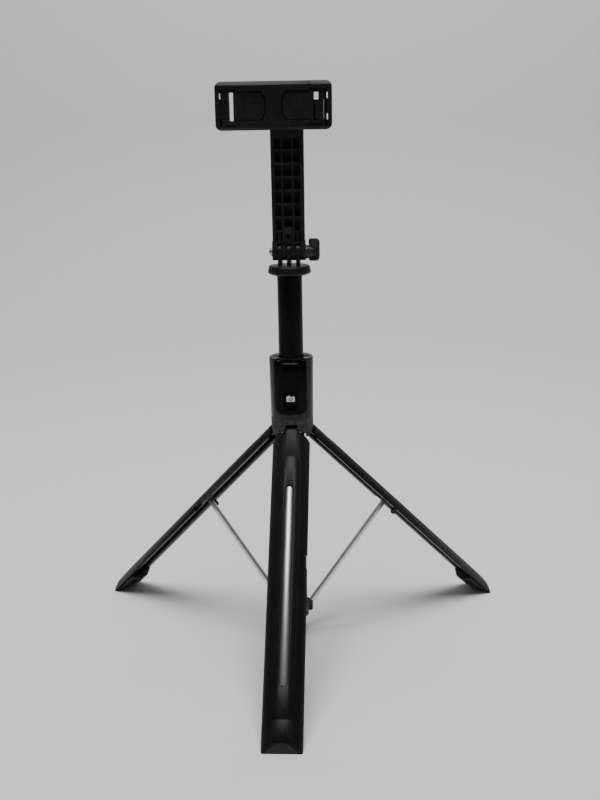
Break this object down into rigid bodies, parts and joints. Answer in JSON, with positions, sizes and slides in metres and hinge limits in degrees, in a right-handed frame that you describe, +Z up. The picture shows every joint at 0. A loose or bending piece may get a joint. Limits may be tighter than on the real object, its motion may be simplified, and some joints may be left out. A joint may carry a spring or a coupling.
{
  "type": "selfie stick",
  "caption": "Telescopic selfie stick standing on folding tripod legs, with a slide-out remote, a tilting prong head and a rotating sprung phone clamp.",
  "frame": {"origin": "on the floor, under the axis of the pole and midway between the feet", "axes": "+Z up the pole, -Y along the front leg and out of the front of the phone clamp, +X towards the thumb knob"},
  "size_m": [0.3042, 0.2633, 0.3963],
  "materials": {
    "handle": "satin graphite moulding, fine spark texture",
    "collar": "matte dark brown-grey moulding",
    "black_plastic": "matte black moulding",
    "leg": "satin black moulding",
    "gloss_black": "polished black plastic",
    "knob": "satin dark grey moulding",
    "pole": "satin black anodised tube",
    "steel": "bright zinc-plated steel",
    "polished_steel": "polished plating",
    "nylon": "natural nylon",
    "rubber": "soft black rubber",
    "circuit_board": "green solder mask",
    "white_ink": "printed white"
  },
  "bodies": {
    "handle": {"handle_shell": "handle", "handle_cap": "handle", "leg_collar": "collar", "guide_bushes": "nylon", "brake_ring": "rubber", "leg_pins": "steel", "collar_screws": "steel"},
    "remote": {"remote_case": "gloss_black", "remote_face": "gloss_black", "remote_board": "circuit_board", "remote_cell": "steel"},
    "button": {"remote_button": "gloss_black", "button_symbol": "white_ink"},
    "pole": {"pole_tube_1": "pole", "pole_mouth": "gloss_black", "stay_hub": "black_plastic"},
    "section_2": {"pole_tube_2": "pole", "tube_bush_2": "nylon"},
    "section_3": {"pole_tube_3": "pole", "tube_bush_3": "nylon"},
    "section_4": {"pole_tube_4": "pole", "tube_bush_4": "nylon"},
    "section_5": {"pole_tube_5": "pole", "tube_bush_5": "nylon"},
    "head": {"head_disc": "black_plastic"},
    "arm": {"holder_arm": "black_plastic", "acorn_nut": "polished_steel"},
    "thumb_screw": {"clamp_bolt": "steel", "thumb_knob": "knob"},
    "clamp": {"pivot_screw": "steel", "clamp_frame": "black_plastic", "clamp_spring": "steel", "claw_left_pin": "steel"},
    "slider": {"clamp_slider": "black_plastic", "claw_right_pin": "steel"},
    "left_claw": {"claw_left": "black_plastic", "claw_left_pad": "rubber"},
    "right_claw": {"claw_right": "black_plastic", "claw_right_pad": "rubber"},
    "leg_1": {"leg_cover_1": "leg", "leg_frame_1": "black_plastic", "leg_strip_1": "leg", "leg_inlay_1": "polished_steel", "leg_foot_1": "rubber", "stay_pin_1": "steel"},
    "stay_link_1": {"stay_1": "steel"},
    "leg_2": {"leg_cover_2": "leg", "leg_frame_2": "black_plastic", "leg_strip_2": "leg", "leg_inlay_2": "polished_steel", "leg_foot_2": "rubber", "stay_pin_2": "steel"},
    "stay_link_2": {"stay_2": "steel"},
    "leg_3": {"leg_cover_3": "leg", "leg_frame_3": "black_plastic", "leg_strip_3": "leg", "leg_inlay_3": "polished_steel", "leg_foot_3": "rubber", "stay_pin_3": "steel"},
    "stay_link_3": {"stay_3": "steel"}
  },
  "joints": [
    {"name": "pole_slide", "type": "slide", "parent": "handle", "child": "pole", "axis": [0, 0, 1], "range_m": [-0.05441, 0]},
    {"name": "leg_1_hinge", "type": "hinge", "parent": "handle", "child": "leg_1", "pos_m": [0, -0.0114, 0.1585], "axis": [1, 0, 0], "range_deg": [0, 45.45]},
    {"name": "leg_2_hinge", "type": "hinge", "parent": "handle", "child": "leg_2", "pos_m": [0.00987, 0.0057, 0.1585], "axis": [-0.5, 0.866, 0], "range_deg": [0, 45.45]},
    {"name": "leg_3_hinge", "type": "hinge", "parent": "handle", "child": "leg_3", "pos_m": [-0.00987, 0.0057, 0.1585], "axis": [-0.5, -0.866, 0], "range_deg": [0, 45.45]},
    {"name": "stay_1_hinge", "type": "hinge", "parent": "leg_1", "child": "stay_link_1", "pos_m": [0, -0.07833, 0.0925], "axis": [-1, 0, 0], "range_deg": [0, 88.53]},
    {"name": "stay_2_hinge", "type": "hinge", "parent": "leg_2", "child": "stay_link_2", "pos_m": [0.06784, 0.03916, 0.0925], "axis": [0.5, -0.866, 0], "range_deg": [0, 88.53]},
    {"name": "stay_3_hinge", "type": "hinge", "parent": "leg_3", "child": "stay_link_3", "pos_m": [-0.06784, 0.03916, 0.0925], "axis": [0.5, 0.866, 0], "range_deg": [0, 88.53]},
    {"name": "section_2_slide", "type": "slide", "parent": "pole", "child": "section_2", "axis": [0, 0, 1], "range_m": [0, 0.205]},
    {"name": "section_3_slide", "type": "slide", "parent": "section_2", "child": "section_3", "axis": [0, 0, 1], "range_m": [0, 0.205]},
    {"name": "section_4_slide", "type": "slide", "parent": "section_3", "child": "section_4", "axis": [0, 0, 1], "range_m": [0, 0.205]},
    {"name": "section_5_slide", "type": "slide", "parent": "section_4", "child": "section_5", "axis": [0, 0, 1], "range_m": [0, 0.205]},
    {"name": "head_swivel", "type": "hinge", "parent": "section_5", "child": "head", "pos_m": [0, 0, 0.27], "axis": [0, 0, 1], "continuous": true},
    {"name": "arm_tilt", "type": "hinge", "parent": "head", "child": "arm", "pos_m": [0, 0, 0.2832], "axis": [1, 0, 0], "range_deg": [-90, 90]},
    {"name": "thumb_screw_turn", "type": "hinge", "parent": "arm", "child": "thumb_screw", "pos_m": [0, 0, 0.2832], "axis": [1, 0, 0], "continuous": true},
    {"name": "clamp_turn", "type": "hinge", "parent": "arm", "child": "clamp", "pos_m": [0, -0.004, 0.3806], "axis": [0, 1, 0], "continuous": true},
    {"name": "clamp_slide", "type": "slide", "parent": "clamp", "child": "slider", "axis": [1, 0, 0], "range_m": [0, 0.022], "stiffness_N_per_m": 250, "springref_m": -0.02, "deforming": ["clamp_spring"]},
    {"name": "claw_left_fold", "type": "hinge", "parent": "clamp", "child": "left_claw", "pos_m": [-0.0409, -0.0108, 0.3806], "axis": [0, 0, -1], "range_deg": [0, 90]},
    {"name": "claw_right_fold", "type": "hinge", "parent": "slider", "child": "right_claw", "pos_m": [0.0251, -0.0108, 0.3806], "axis": [0, 0, 1], "range_deg": [0, 90]},
    {"name": "remote_slide", "type": "slide", "parent": "handle", "child": "remote", "axis": [0, 0, 1], "range_m": [0, 0.04]},
    {"name": "button_press", "type": "slide", "parent": "remote", "child": "button", "axis": [0, 1, 0], "range_m": [0, 0.0005], "stiffness_N_per_m": 500, "springref_m": -0.001}
  ],
  "couplings": [
    {"joint": "leg_1_hinge", "follows": "pole_slide", "rad_per_m": -14.563},
    {"joint": "leg_2_hinge", "follows": "pole_slide", "rad_per_m": -14.563},
    {"joint": "leg_3_hinge", "follows": "pole_slide", "rad_per_m": -14.563},
    {"joint": "stay_1_hinge", "follows": "pole_slide", "rad_per_m": -28.381},
    {"joint": "stay_2_hinge", "follows": "pole_slide", "rad_per_m": -28.381},
    {"joint": "stay_3_hinge", "follows": "pole_slide", "rad_per_m": -28.381}
  ]
}
